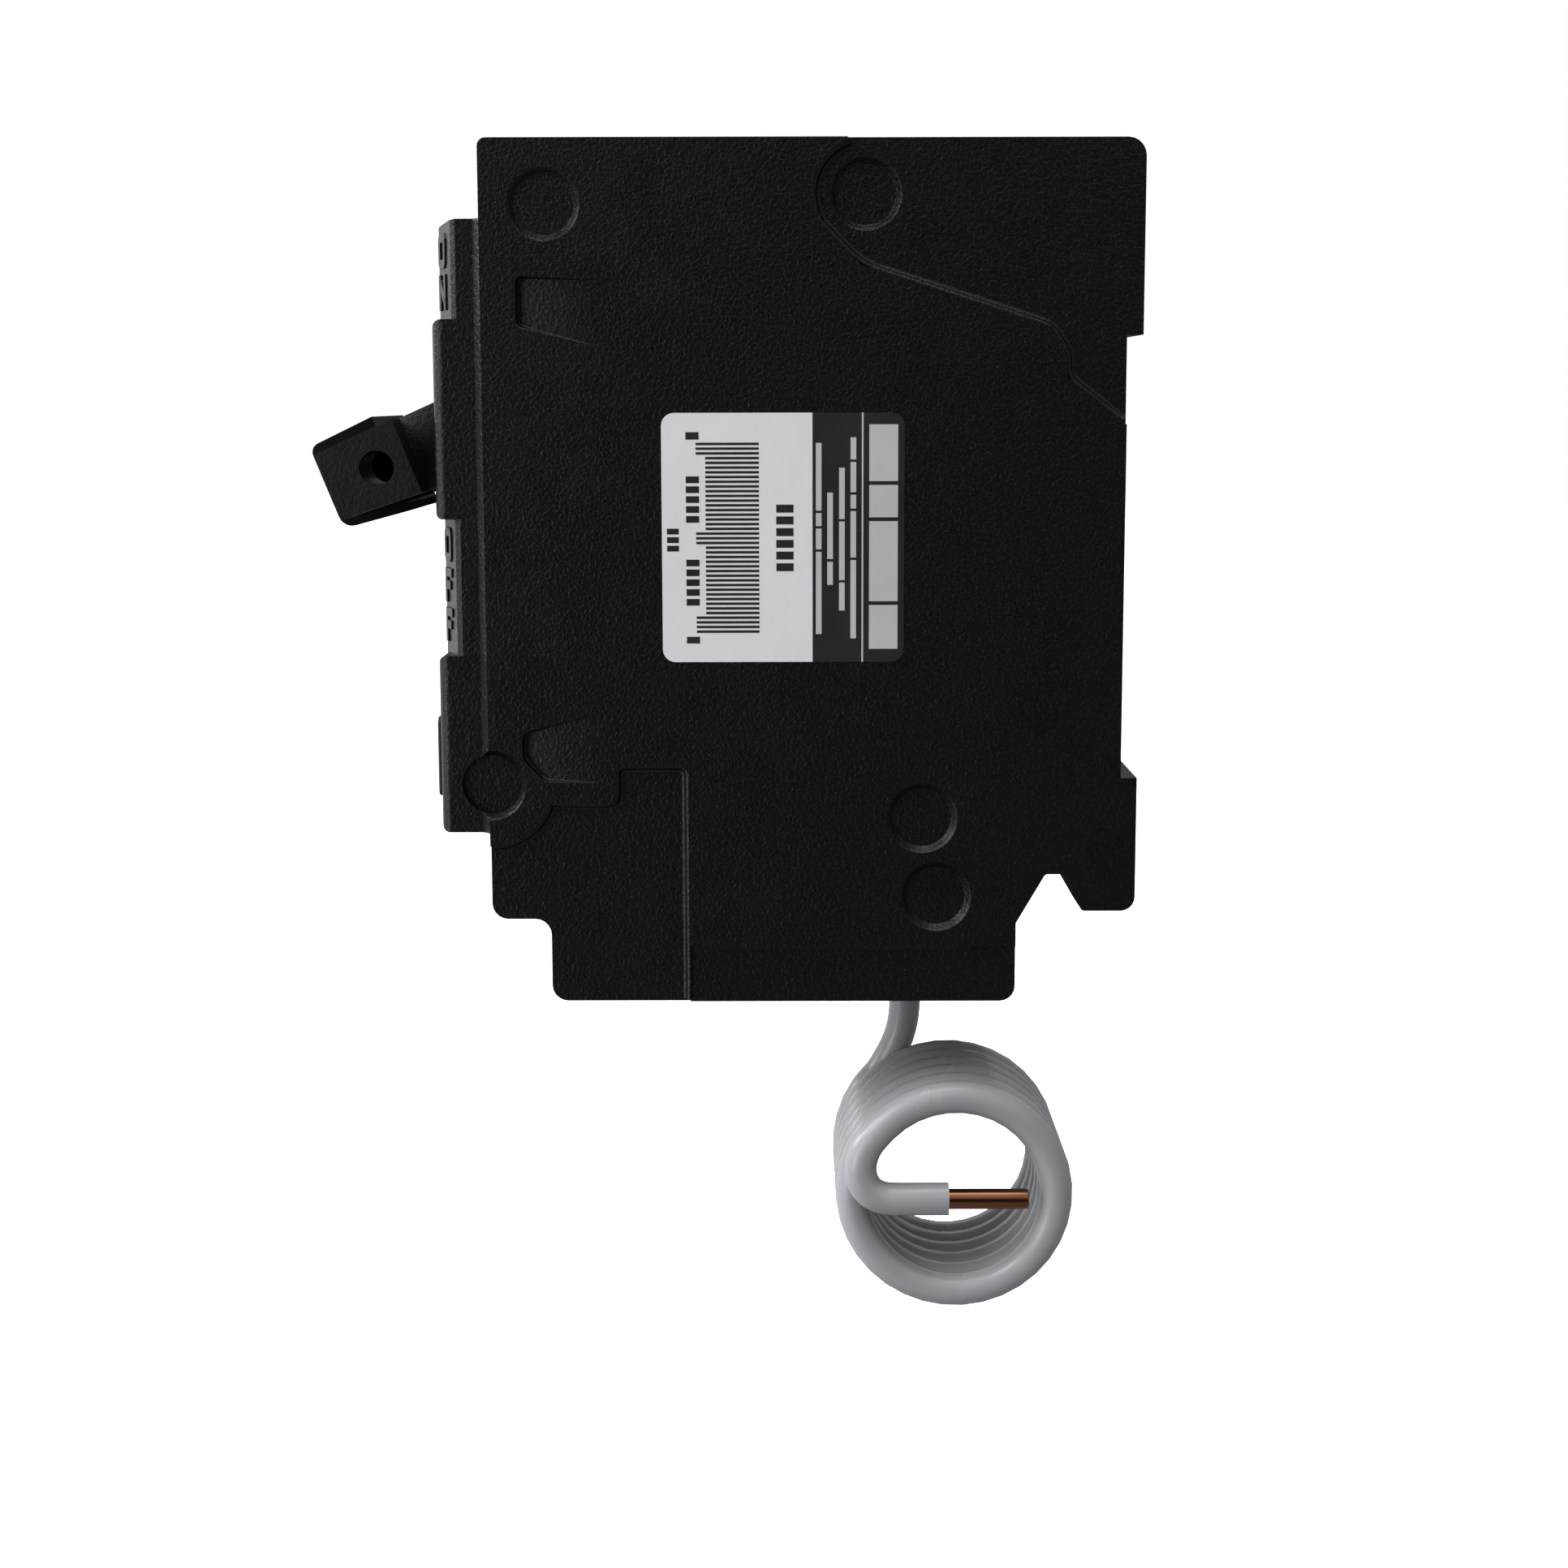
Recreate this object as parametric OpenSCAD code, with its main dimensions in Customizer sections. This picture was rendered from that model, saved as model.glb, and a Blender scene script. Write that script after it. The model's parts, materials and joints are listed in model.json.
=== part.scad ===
// Two-pole plug-on ground-fault circuit breaker with a coiled white neutral pigtail.
// The breaker stands upright: +Z is the line end, -Y is the front with the handles, +X is the right.
// Drawn heights (z) are taken from the load end and depths (y) from the rear seat; in_frame() then
// puts the origin at the middle of the rear seat.

/* [Case] */
// Width across both poles
case_w = 50.8; // [50:0.1:52]
// Height from the load end to the line end
case_h = 95.25; // [95:0.05:96]
// Depth from the rear seat to the front panel
case_d = 72.2; // [72:0.1:72.6]
// Width of the ground-fault module between the poles
core_w = 16; // [15.8:0.1:16.2]
// Thickness of the moulded walls
wall = 1.8; // [1.6:0.1:1.9]
// How far the escutcheon stands in front of the panel
esc_depth = 5.5; // [5.3:0.1:5.6]
// How far the escutcheon's sides are set in
esc_inset = 1; // [0.6:0.1:1.2]
// How far the line and load corner panels are set in
panel_step = 1; // [0.6:0.1:1.1]

/* [Handle] */
// Angle of the handles below level when OFF
handle_tilt = 21.5; // [20:0.1:22.5]
// Distance from the pivot to the tip of a handle
handle_len = 20.45; // [19.5:0.05:20.6]
// Width of a handle's finger lug
lug_w = 9.3; // [8:0.1:9.6]
// Radius of the lock hole through each lug
lock_r = 1.93; // [1.7:0.01:2.1]

/* [Terminals] */
// Distance between the centres of neighbouring load terminals
terminal_pitch = 14; // [13.6:0.1:14.4]
// Radius of the wire hole in a lug
wire_r = 3.2; // [2.9:0.1:3.3]
// Radius of the screwdriver hole
driver_r = 3.4; // [3:0.1:3.5]

/* [Pigtail] */
// Outer diameter of the pigtail's insulation
cord_d = 3.75; // [3.4:0.05:3.75]
// Diameter of the copper conductor
copper_d = 2.35; // [2:0.05:2.4]
// Mean radius of the coil
coil_r = 11.8; // [11:0.1:12]
// Turns in the coil
coil_turns = 6; // [5:1:6]
// Length of bare copper at the end
copper_len = 9.2; // [6:0.1:10]

/* [Hidden] */
$fn = 48;
eps = 0.01;

// Frame and main planes
half_w = case_w / 2;
half_core = core_w / 2;
seat_z = 84.7;            // height of the middle of the rear seat above the load end
inner_x = half_w - 2.8;   // inside of a cover's side wall
core_wall = 1.6;          // partition between the module and each pole
core_in = half_core - core_wall;
front_y = -case_d;
esc_y = front_y - esc_depth;
pad_y = esc_y + 0.2;      // front of the two lettered pads
pad_edge_y = pad_y + 2.15; // where a pad's slanted face reaches the side
pad_fold_x = 17.6;        // where the slanted face starts
pad_chamfer = 0.5;          // height of the bevel along the top
esc_x = half_w - esc_inset;

// Rail hook under the rear edge, and the load-end step
hook_top = 25.5;
hook_foot = 10.43;
mid_back = -1.8;
seat_foot = 74.2;
notch_front = -13.3;
chamfer = 0.8;            // bevel between a main side panel and the escutcheon's side
notch_top = 14.62;
step_y = -65.57;
step_z = 9.43;

// Escutcheon heights
esc_foot = 19.35;
esc_low_top = 39.2;
esc_handle_foot = 54.3;
esc_handle_top = 76.05;
esc_top = 86.75;

// Pivots, as [y, z]
handle_pivot = [-71, 65.2];
arm_pivot = [-56, 63];
cradle_pivot = [-60, 84];
trip_pivot = [-43.5, 37];
armature_pivot = [-38.8, 33];
pin_r = 1.5;
pin_fit = 0.05;
pole_x = 12.7;            // middle plane of a pole's contact arm and handle stem
stem_w = 6.6;
arm_travel = 24;

// Handles, measured from the pivot along a level handle
hub_r = 6;
lug_root = 10.85;
tip_half = 3.85;
root_half = 4.35;
hole_at = 14.5;           // lock hole
lug_x0 = pole_x - 0.6;
lug_x1 = lug_x0 + lug_w;
tie_back = 14.2;
tie_front = 22.15;
tie_wall = 1;
peg_at = 18.4;            // pegs of the tie, held in the lugs
peg_r = 1;

// Contacts and line jaws
arm_x0 = pole_x - 1.5;
arm_x1 = pole_x + 1.5;
contact_y = -29.5;
contact_r = 2;
jaw_x0 = 9.6;
jaw_x1 = 19.6;
jaw_mid = 83;
jaw_gap = 2.2;            // half the gap between the fingers
jaw_t = 1.1;

// Ground-fault module
toroid_z = 27.2;
sol_z = 45;
plunger_r = 2.13;
button_w = 12;
button_foot = 20.6;
button_top = 30.1;
button_mid = (button_foot + button_top) / 2;
button_front = esc_y - 2.75;
clamp_r = 3.2;            // pigtail bushing

// Round recesses of the side faces that the case screws run through, as [y, z, how far the face is
// set in there], and the plain one at the escutcheon, as [y, z]
screw_spots = [[-65.2, 88.2, 0], [-30.3, 89.3, panel_step], [-23.9, 21.0, 0], [-22.3, 12.1, 0]];
front_recess_at = [-72, 24.8];
front_recess_r = 3.3;
recess_r = 3.95;
recess_floor_r = 3.25;
recess_depth = 0.8;
post_r = 3;
screw_r = 1.6;

// Load terminals
wire_y = -57.4;
screw_z = 15.5;
lug_size = [10, 13, 9];
lug_front = -66;
lug_foot = 11.5;

// Pigtail: exit and coil axis
exit_x = 2;
exit_y = -24.6;
coil_y = -19.8;
coil_z = -23.43;
coil_pitch = cord_d + 0.02;
coil_x0 = 1.1;             // where the wire joins the coil
coil_x1 = coil_x0 + coil_turns * coil_pitch;

// Route of the uncoiled pigtail stretches, as [x, y, z from the load end]
lead_route = [
    [2, -24.6, 0], [2, -24.6, -2], [1.95, -24.62, -4], [1.85, -24.7, -6], [1.7, -24.9, -8],
    [1.5, -25.4, -10], [1.3, -26.3, -12.1], [1.15, -27.55, -14.3], [1.1, -28.5, -15.45], [1.1, -29.44, -16.63]
];
tail_route = [
    [23.6, -28.84, -15.85], [23.65, -29.9, -17.25], [23.7, -30.5, -18.75], [23.72, -30.65, -20.3],
    [23.72, -30.25, -21.75], [23.72, -29.4, -22.8], [23.72, -28.1, -23.42], [23.72, -26.6, -23.57],
    [23.72, -24.6, -23.57], [23.72, -22.5, -23.57], [23.72, -20.55, -23.57]
];
load_route = [
    [15, -30.6, 25.5], [14.4, -28.8, 26.2], [12.6, -27.6, 27], [9, -27.4, 27.8], [5.5, -28, 28.2],
    [3.2, -29.6, 28.4], [2, -32, 28.4], [1.6, -35, 28.4], [1.6, -38.5, 28.4], [1.8, -41.5, 28.4],
    [2.8, -44.2, 28.2], [5, -46.4, 27.6], [8, -48.2, 26.8], [11, -50, 26], [13, -52.2, 25],
    [13.9, -54.4, 23.6], [14, -56.2, 22.2], [14, -57.6, 20.5]
];
neutral_route = [
    [2, -24.6, 0], [2, -24.6, 3], [2, -25.8, 6], [2, -27.8, 9], [2, -29, 13], [1.6, -29.4, 17],
    [0.8, -29.6, 20.5], [0.3, -30.6, 23.4], [0, -33, 25.2], [0, -37, 25.5], [0, -43, 25.5],
    [0, -48, 25.2], [0, -52, 24.4], [0, -55, 22.8], [0, -57, 20.5]
];
braid_route = [
    [15.6, -45, 61], [15.6, -42, 60], [15.6, -38.6, 59.4], [15.5, -35.6, 58.4], [15.5, -33.4, 56]
];

// ---- Two-dimensional helpers ----

function unit(v) = v / norm(v);

// Points of the arc that rounds corner b, between neighbours a and c
function corner(a, b, c, r, n) =
    let (u = unit(a - b), v = unit(c - b), half = acos(u * v) / 2,
         middle = b + unit(u + v) * r / sin(half),
         s = b + u * r / tan(half) - middle, e = b + v * r / tan(half) - middle,
         a0 = atan2(s[1], s[0]), turn = atan2(e[1], e[0]) - a0,
         sweep = turn > 180 ? turn - 360 : turn < -180 ? turn + 360 : turn)
    [for (i = [0:n]) middle + r * [cos(a0 + sweep * i / n), sin(a0 + sweep * i / n)]];

// Outline through points given as [y, z] or, where a corner is rounded, [y, z, radius]
function rounded(points, n = 5) =
    [for (i = [0:len(points) - 1])
        let (p = points[i], b = [p[0], p[1]],
             q = points[(i + len(points) - 1) % len(points)], w = points[(i + 1) % len(points)])
        each (len(p) == 2 ? [b] : corner([q[0], q[1]], b, [w[0], w[1]], p[2], n))];

function arc(centre, r, from, to, n = 10) =
    [for (i = [0:n]) centre + r * [cos(from + (to - from) * i / n), sin(from + (to - from) * i / n)]];

// ---- Placement helpers ----

module in_frame() {
    translate([0, 0, -seat_z]) children();
}

module side(x0, x1) {
    in_frame() translate([x0, 0, 0]) rotate([90, 0, 90]) linear_extrude(x1 - x0) children();
}

module block(x0, x1, y0, y1, z0, z1) {
    in_frame() translate([x0, y0, z0]) cube([x1 - x0, y1 - y0, z1 - z0]);
}

module along_x(p, r, x0, x1) {
    in_frame() translate([x0, p[0], p[1]]) rotate([0, 90, 0]) cylinder(r = r, h = x1 - x0);
}

module along_y(x, z, r, y0, y1) {
    in_frame() translate([x, y0, z]) rotate([-90, 0, 0]) cylinder(r = r, h = y1 - y0);
}

module along_z(x, y, r, z0, z1) {
    in_frame() translate([x, y, z0]) cylinder(r = r, h = z1 - z0);
}

module other_side() {
    mirror([1, 0, 0]) children();
}

// Handle parts are drawn level, with the pivot at the origin and the tip towards -Y
module at_handle() {
    in_frame() translate([0, handle_pivot[0], handle_pivot[1]]) rotate([handle_tilt, 0, 0]) children();
}

module handle_side(x0, x1) {
    at_handle() translate([x0, 0, 0]) rotate([90, 0, 90]) linear_extrude(x1 - x0) children();
}

// The contact arm is drawn closed, and opens about its pivot to its rest place
module at_arm() {
    in_frame() translate([0, arm_pivot[0], arm_pivot[1]]) rotate([-arm_travel, 0, 0])
        translate([0, -arm_pivot[0], -arm_pivot[1]]) children();
}

module arm_side(x0, x1) {
    at_arm() translate([x0, 0, 0]) rotate([90, 0, 90]) linear_extrude(x1 - x0) children();
}

// Tube of radius r swept along a list of points; level is a direction that the path never takes
function tangent(path, i) =
    unit(path[min(i + 1, len(path) - 1)] - path[max(i - 1, 0)]);

function ring(path, i, r, n, level) =
    let (t = tangent(path, i), side_dir = unit(cross(t, level)),
         up = cross(side_dir, t))
    [for (k = [0:n - 1]) path[i] + r * (cos(360 * k / n) * side_dir + sin(360 * k / n) * up)];

module tube(path, r, level = [1, 0, 0]) {
    n = 8;
    points = [for (i = [0:len(path) - 1]) each ring(path, i, r, n, level)];
    last = (len(path) - 1) * n;
    sides = [for (i = [0:len(path) - 2]) for (k = [0:n - 1])
        let (a = i * n + k, b = i * n + (k + 1) % n) each [[a, b, b + n], [a, b + n, a + n]]];
    ends = [[for (k = [n - 1:-1:0]) k], [for (k = [0:n - 1]) last + k]];
    in_frame() polyhedron(points, concat(ends, sides));
}

// ---- Case outlines, in the plane seen from the side ----

case_outline = rounded([
    [notch_front, 0, 1.7], [notch_front, 9.05], [-10.05, notch_top, 0.5], [-7.81, notch_top, 0.3],
    [-6.98, 13.4], [-6.98, 12.1], [-5.9, hook_foot, 0.5], [0, hook_foot, 1.6], [0, hook_top],
    [mid_back, hook_top], [mid_back, seat_foot], [0, seat_foot], [0, case_h, 2],
    [front_y, case_h, 0.9], [front_y, step_z, 1.8], [step_y, step_z, 1.8], [step_y, 0, 1.8]
]);

esc_low_outline = rounded([
    [front_y + 0.5, esc_foot], [esc_y, esc_foot, 0.9], [esc_y, esc_low_top, 0.9],
    [front_y + 0.5, esc_low_top]
]);

esc_handle_outline = rounded([
    [front_y + 0.5, esc_handle_foot], [esc_y, esc_handle_foot, 0.8], [esc_y, esc_handle_top, 1.1],
    [front_y + 0.5, esc_handle_top]
]);

off_pad_outline = [
    [front_y + 0.5, esc_low_top - 1], [pad_y, esc_low_top - 1], [pad_y, esc_handle_foot + 1],
    [front_y + 0.5, esc_handle_foot + 1]
];

on_pad_outline = rounded([
    [front_y + 0.5, esc_handle_top - 1], [pad_y, esc_handle_top - 1],
    [pad_y, esc_top - pad_chamfer, 0.3], [pad_edge_y + 0.5, esc_top, 0.8], [front_y + 0.5, esc_top]
]);

cavity_outline = [
    [front_y + wall, step_z + wall], [step_y + wall, step_z + wall], [step_y + wall, wall],
    [notch_front - wall, wall], [notch_front - wall, notch_top + wall], [mid_back - wall, notch_top + wall],
    [mid_back - wall, seat_foot + wall], [-wall, seat_foot + wall], [-wall, case_h - wall],
    [front_y + wall, case_h - wall]
];

line_panel = concat(
    [[2, 64.5], [-1.8, 64.5], [-8.3, 69.6], [-8.3, 72.2], [-10.1, 75.05], [-30.8, 81.7]],
    [for (p = arc([-30.3, 89.3], 5.8, 222, 110)) p],
    [[-32.2, 97], [2, 97]]
);

strip_panel = concat(
    [[-80, -1], [-49.93, -1]],
    rounded([[-49.93, 20], [-49.93, 26.95, 1], [-58.05, 26.95, 0.9], [-58.05, 22.7, 0.9], [-63, 22.7]]),
    arc(front_recess_at, 6.9, -17, -90),
    [[-80, 17.9]]
);

// Finger grips: four corners of each, and where the sloped floor comes out
upper_grip = [[-68.5, 80.8, 0.9], [-59.6, 80.2], [-59.6, 73.1], [-68.5, 75.1, 0.6]];
lower_grip = [[-68.6, 30.8, 0.9], [-59.6, 32.9], [-59.6, 25.1], [-66.2, 25.1, 0.6], [-68.6, 27.6, 0.6]];
grip_front = -68.7;
grip_back = -59.6;
grip_depth = 1.3;

// Plan of one pole's half of the escutcheon: its blocks, and the pads with their slanted faces
block_plan = rounded([
    [half_core - 1, front_y + 1], [esc_x, front_y + 1], [esc_x, esc_y, 1.2], [half_core - 1, esc_y]
]);

pad_plan = rounded([
    [half_core - 1, front_y + 1], [esc_x, front_y + 1], [esc_x, pad_edge_y + 0.4, 0.4],
    [esc_x - 0.4, pad_edge_y - 0.2, 0.3],
    [pad_fold_x, pad_y], [half_core - 1, pad_y]
]);

// The part of an escutcheon outline that lies within a plan
module escutcheon(outline, plan) {
    intersection() {
        side(half_core, esc_x) polygon(outline);
        in_frame() linear_extrude(case_h) polygon(plan);
    }
}

module finger_grip(outline) {
    intersection() {
        side(half_w - 2, half_w + 1) polygon(rounded(outline));
        in_frame() linear_extrude(case_h) polygon([
            [half_w - grip_depth, grip_front], [half_w, grip_back],
            [half_w + 2, grip_back], [half_w + 2, grip_front]
        ]);
    }
}

module side_recess(p) {
    floor_x = half_w - p[2] - recess_depth;
    in_frame() translate([floor_x, p[0], p[1]]) rotate([0, 90, 0])
        cylinder(r1 = recess_floor_r, r2 = recess_r, h = recess_depth + eps);
    along_x(p, recess_r, floor_x + recess_depth, half_w + 1);
}

module front_recess() {
    p = front_recess_at;
    along_x(p, front_recess_r, esc_x - recess_depth, half_w + 1);
    in_frame() translate([esc_x, p[0], p[1]]) rotate([0, 90, 0])
        cylinder(r1 = front_recess_r, r2 = recess_r + 0.01, h = esc_inset + 0.02);
}

// One pole's outer moulding, closed on the outside and open towards the module
module pole_cover() {
    difference() {
        union() {
            side(half_core, half_w) polygon(case_outline);
            escutcheon(esc_low_outline, block_plan);
            escutcheon(off_pad_outline, pad_plan);
            escutcheon(esc_handle_outline, block_plan);
            escutcheon(on_pad_outline, pad_plan);
            in_frame() translate([0, 0, esc_foot]) linear_extrude(esc_top - esc_foot) polygon([
                [half_core, front_y + 0.5], [half_w - 0.5, front_y + 0.5],
                [half_w - eps, front_y + eps], [esc_x, front_y - chamfer], [half_core, front_y - chamfer]
            ]);
        }
        side(half_w - panel_step, half_w + 1) polygon(line_panel);
        side(half_w - panel_step, half_w + 1) polygon(strip_panel);
        block(half_w - panel_step / 2, half_w + 1, -49.94, notch_front + 2, -1, 6.37);
        finger_grip(upper_grip);
        finger_grip(lower_grip);
        for (p = screw_spots) side_recess(p);
        front_recess();
        side(half_core - 1, inner_x) polygon(cavity_outline);
        block(half_core - 1, inner_x, esc_y + wall, front_y + wall + 0.5,
            esc_handle_foot + wall, esc_handle_top - wall);
        handle_slot(pole_x);
        along_y(terminal_pitch, screw_z, driver_r, front_y - 1, front_y + wall + 1);
        along_z(terminal_pitch, wire_y, wire_r + 0.4, -1, wall + 1);
        block(9, 20.4, -wall - 1, 1, 80.4, 85.6);
        along_x(handle_pivot, pin_r, half_core, inner_x + 1);
        along_x(arm_pivot, pin_r, half_core, inner_x + 1);
        along_x(cradle_pivot, pin_r, half_core, inner_x + 1);
    }
}

// Slot in the escutcheon that a handle swings in
module handle_slot(x) {
    slot_half = 8.5;
    block(x - stem_w / 2 - 0.4, x + stem_w / 2 + 0.4, esc_y - 1, esc_y + wall + 1,
        handle_pivot[1] - slot_half, handle_pivot[1] + slot_half);
}

module right_cover() {
    color([0.09, 0.09, 0.09]) difference() {
        union() {
            pole_cover();
            for (p = screw_spots) along_x(p, post_r, half_core, inner_x + eps);
        }
        for (p = screw_spots) along_x(p, screw_r, half_core - 1, inner_x - 1);
    }
}

module left_cover() {
    color([0.09, 0.09, 0.09]) other_side() difference() {
        union() {
            pole_cover();
            for (p = screw_spots) along_x(p, post_r, half_core, inner_x + eps);
        }
        for (p = screw_spots) along_x(p, screw_r + 0.1, half_core - 1, half_w);
    }
}

// Middle moulding: the module's box, open on its left side
module centre_case() {
    button_gap = 0.3;
    color([0.1, 0.1, 0.1]) difference() {
        union() {
            side(-half_core, half_core) polygon(case_outline);
            side(-half_core, half_core) polygon(esc_low_outline);
            side(-half_core, half_core) polygon(esc_handle_outline);
            side(-half_core, half_core) polygon(off_pad_outline);
            side(-half_core, half_core) polygon(on_pad_outline);
        }
        difference() {
            union() {
                side(-half_core - 1, core_in) polygon(cavity_outline);
                block(-core_in, core_in, esc_y + wall, front_y + wall + 0.5,
                    button_foot - 0.4, esc_low_top - wall);
            }
            for (p = screw_spots) along_x(p, post_r, -core_in, half_core);
        }
        for (p = screw_spots) along_x(p, screw_r + 0.1, -half_core - 1, half_core + 1);
        block(-button_w / 2 - button_gap, button_w / 2 + button_gap, esc_y - 1, esc_y + wall + 1,
            button_foot - button_gap, button_top + button_gap);
        along_y(0, screw_z, driver_r, front_y - 1, front_y + wall + 1);
        along_z(0, wire_y, wire_r + 0.4, -1, wall + 1);
        along_z(exit_x, exit_y, clamp_r, -1, wall + 1);
        partition_holes(core_in - 1, half_core + 1);
        along_x(handle_pivot, pin_r, -half_core - 1, half_core + 1);
    }
}

// Everything that passes through the partition and the barrier
module partition_holes(x0, x1) {
    along_x(handle_pivot, pin_r, x0, x1);
    along_x(arm_pivot, pin_r, x0, x1);
    along_x(cradle_pivot, pin_r, x0, x1);
    along_x(trip_pivot, pin_r + pin_fit, x0, x1);
    block(x0, x1, -29.5, -25.6, 25, 30);
    block(x0, x1, -50.5, -45.6, 24.5, 29.6);
}

module barrier_plate() {
    slack = 0.15;
    color([0.75, 0.72, 0.62]) difference() {
        side(-half_core, -core_in) polygon([
            [front_y + wall + slack, step_z + wall + slack], [step_y + wall + slack, step_z + wall + slack],
            [step_y + wall + slack, wall + slack], [notch_front - wall - slack, wall + slack],
            [notch_front - wall - slack, notch_top + wall + slack],
            [mid_back - wall - slack, notch_top + wall + slack],
            [mid_back - wall - slack, case_h - wall - slack], [front_y + wall + slack, case_h - wall - slack]
        ]);
        partition_holes(-half_core - 1, -core_in + 1);
        for (p = screw_spots) along_x(p, screw_r + 0.1, -half_core - 1, -core_in + 1);
    }
}

module case_screws() {
    color([0.7, 0.7, 0.72]) other_side() for (p = screw_spots) {
        head_x = half_w - p[2] - recess_depth;
        difference() {
            union() {
                along_x(p, screw_r, -inner_x + 2, head_x);
                along_x(p, 2.9, head_x, head_x + 0.7);
            }
            for (turn = [0, 90]) in_frame() translate([head_x + 0.3, p[0], p[1]]) rotate([turn, 0, 0])
                translate([0, -1.9, -0.4]) cube([1, 3.8, 0.8]);
        }
    }
}

module pivot_pins() {
    color([0.75, 0.75, 0.78]) for (p = [handle_pivot, arm_pivot, cradle_pivot])
        along_x(p, pin_r, -inner_x - 0.9, inner_x + 0.9);
}

// ---- Handles and their tie ----

module handle_one() {
    stem_x0 = pole_x - stem_w / 2;
    stem_x1 = pole_x + stem_w / 2;
    difference() {
        union() {
            along_x(handle_pivot, hub_r, stem_x0 + 0.15, stem_x1 - 0.15);
            handle_side(stem_x0, stem_x1) polygon([[-2, -4.75], [-2, 4.75], [-lug_root - 0.5, 4.35],
                [-lug_root - 0.5, -4.35]]);
            handle_side(lug_x0, lug_x1) polygon(rounded([[-lug_root, -root_half], [-lug_root, root_half],
                [-handle_len, tip_half, 0.25], [-handle_len, -tip_half, 0.25]]));
            handle_side(stem_x0, stem_x0 + 1.4)
                polygon(rounded([[2, -2.7], [9.5, -1.6, 1.5], [9.5, 1.6, 1.5], [2, 2.7]]));
        }
        along_x(handle_pivot, pin_r + pin_fit, stem_x0 - 1, stem_x1 + 1);
        at_handle() translate([lug_x0 - 1, -hole_at, 0]) rotate([0, 90, 0])
            cylinder(r = lock_r, h = lug_w + 2);
        at_handle() translate([lug_x0 - 1, -peg_at, 0]) rotate([0, 90, 0]) cylinder(r = peg_r, h = 3);
    }
}

module handle_right() {
    color([0.1, 0.1, 0.1]) handle_one();
}

module handle_left() {
    color([0.1, 0.1, 0.1]) other_side() handle_one();
}

// The tie bridges the two lugs; it is hollow, and wider towards the pivot like them
module handle_tie() {
    cheek = 1.2;
    strip_back = -10.3;
    color([0.02, 0.02, 0.02]) difference() {
        union() {
            handle_side(-lug_x0, lug_x0) polygon(rounded([[-tie_back, -5.6], [-tie_back, 5.88],
                [-tie_front, 5.28, 1.1], [-tie_front, -4.7, 1.6]]));
            for (s = [-1, 1]) {
                handle_side(min(s * lug_x0, s * (lug_x0 - cheek)), max(s * lug_x0, s * (lug_x0 - cheek)))
                    polygon([[strip_back, -5.95], [strip_back, -5.15], [-tie_back - 2, -4.4],
                        [-tie_back - 2, -5.37]]);
                at_handle() translate([s > 0 ? lug_x0 - cheek : -lug_x0 - 1.9, -peg_at, 0])
                    rotate([0, 90, 0]) cylinder(r = peg_r, h = cheek + 1.9);
            }
        }
        handle_side(-lug_x0 + cheek, lug_x0 - cheek) polygon([[-tie_back + 1, -5.6 + tie_wall],
            [-tie_back + 1, 5.88 - tie_wall], [-tie_front + tie_wall + 0.4, 5.28 - tie_wall - 0.2],
            [-tie_front + tie_wall + 0.4, -4.7 + tie_wall + 0.3]]);
        at_handle() translate([-lug_x0 - 1, -hole_at - 0.4, 0]) rotate([0, 90, 0])
            cylinder(r = lock_r + 0.3, h = 2 * lug_x0 + 2);
    }
}

// ---- Contacts and line side ----

module contact_arm() {
    difference() {
        arm_side(arm_x0, arm_x1) polygon(concat(
            arc(arm_pivot, 3.5, 115, 300, 14),
            [[-35.5, 71], [-26, 72.9], [-26, 75.4], [-34, 75.4], [-37.5, 73.6]]
        ));
        at_arm() translate([arm_x0 - 1, arm_pivot[0], arm_pivot[1]]) rotate([0, 90, 0])
            cylinder(r = pin_r + pin_fit, h = 5);
    }
}

module moving_contact() {
    at_arm() translate([pole_x, contact_y, 75.4]) cylinder(r = contact_r, h = 1.3);
}

module fixed_contact() {
    along_z(pole_x, contact_y, contact_r, 77.1, 78.4);
}

// One finger of the jaw, in side view: the flared lip, the pinch and the run back to the root
function jaw_finger(gap, t) = [
    [-1.9, gap + 1.6], [-3.4, gap], [-6.5, gap], [-15, gap + 1.4], [-15, gap + 1.4 + t],
    [-6.3, gap + t], [-3.6, gap + t], [-2.3, gap + 1.6 + t]
];

module line_jaw() {
    root = jaw_gap + 1.4 + jaw_t;
    side(jaw_x0, jaw_x1) translate([0, jaw_mid]) union() {
        polygon(jaw_finger(jaw_gap, jaw_t));
        mirror([0, 1]) polygon(jaw_finger(jaw_gap, jaw_t));
        translate([-16.1, -root]) square([1.2, 2 * root]);
    }
    block(arm_x0 - 1.5, arm_x1 + 1.5, -33, -16, 78.4, 79.6);
}

module jaw_spring() {
    gap = jaw_gap + jaw_t + 0.05;
    t = 0.7;
    difference() {
        side(jaw_x0 + 1.5, jaw_x1 - 1.5) translate([0, jaw_mid]) difference() {
            translate([-17.2, -gap - 1.5 - t]) square([13.4, 2 * (gap + 1.5 + t)]);
            polygon([[-3, -gap], [-6.4, -gap], [-15.2, -gap - 1.45], [-16.3, -gap - 1.45],
                [-16.3, gap + 1.45], [-15.2, gap + 1.45], [-6.4, gap], [-3, gap]]);
            polygon([[-3, gap + t], [-6.2, gap + t], [-11, gap + 1.5 + t], [-11, gap + 4], [-3, gap + 4]]);
            mirror([0, 1])
                polygon([[-3, gap + t], [-6.2, gap + t], [-11, gap + 1.5 + t], [-11, gap + 4],
                    [-3, gap + 4]]);
        }
        block(arm_x0 - 2, arm_x1 + 1.7, -18, -15, 78.2, 79.8);
    }
}

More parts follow.
